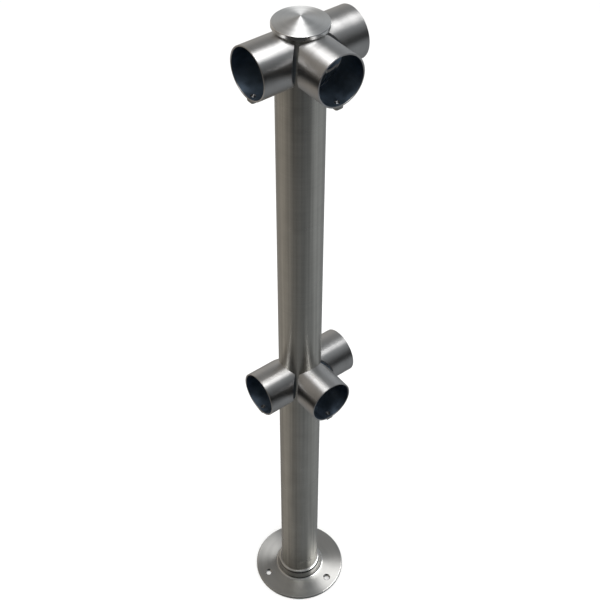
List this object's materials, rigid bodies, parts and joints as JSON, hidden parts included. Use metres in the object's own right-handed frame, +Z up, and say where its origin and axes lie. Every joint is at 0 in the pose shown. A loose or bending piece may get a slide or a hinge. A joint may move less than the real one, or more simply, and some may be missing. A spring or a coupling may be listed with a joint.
{
  "type": "barrier post",
  "caption": "Round stainless steel barrier post with a floor flange, a low conical cap and tubular rail sockets, each with a clamp screw in a nut underneath.",
  "frame": {"origin": "on the post axis, at the underside of the floor flange", "axes": "+Z up along the post; the front sockets face -Y, the side sockets face -X and +X, and the back of the post is plain"},
  "size_m": [0.148, 0.148, 1.068],
  "materials": {
    "brushed_tube": "satin, ground along the tube",
    "turned_flange": "satin, turned",
    "turned_cap": "satin, turned",
    "brushed_socket": "satin, ground round the socket",
    "plain_nut": "plain, as forged",
    "plain_screw": "plain",
    "ring_rubber": "matt"
  },
  "bodies": {
    "post": {"post_tube": "brushed_tube", "base_flange": "turned_flange", "top_cap": "turned_cap", "cap_ring": "ring_rubber", "top_left_socket": "brushed_socket", "top_left_nut": "plain_nut", "top_front_socket": "brushed_socket", "top_front_nut": "plain_nut", "top_right_socket": "brushed_socket", "top_right_nut": "plain_nut", "mid_left_socket": "brushed_socket", "mid_left_nut": "plain_nut", "mid_front_socket": "brushed_socket", "mid_front_nut": "plain_nut", "mid_right_socket": "brushed_socket", "mid_right_nut": "plain_nut"},
    "top_left_screw": {"top_left_screw": "plain_screw"},
    "top_front_screw": {"top_front_screw": "plain_screw"},
    "top_right_screw": {"top_right_screw": "plain_screw"},
    "mid_left_screw": {"mid_left_screw": "plain_screw"},
    "mid_front_screw": {"mid_front_screw": "plain_screw"},
    "mid_right_screw": {"mid_right_screw": "plain_screw"}
  },
  "joints": [
    {"name": "top_left_clamp", "type": "slide", "parent": "post", "child": "top_left_screw", "axis": [0, 0, 1], "range_m": [-0.004, 0.002]},
    {"name": "top_front_clamp", "type": "slide", "parent": "post", "child": "top_front_screw", "axis": [0, 0, 1], "range_m": [-0.004, 0.002]},
    {"name": "top_right_clamp", "type": "slide", "parent": "post", "child": "top_right_screw", "axis": [0, 0, 1], "range_m": [-0.004, 0.002]},
    {"name": "mid_left_clamp", "type": "slide", "parent": "post", "child": "mid_left_screw", "axis": [0, 0, 1], "range_m": [-0.004, 0.002]},
    {"name": "mid_front_clamp", "type": "slide", "parent": "post", "child": "mid_front_screw", "axis": [0, 0, 1], "range_m": [-0.004, 0.002]},
    {"name": "mid_right_clamp", "type": "slide", "parent": "post", "child": "mid_right_screw", "axis": [0, 0, 1], "range_m": [-0.004, 0.002]}
  ]
}
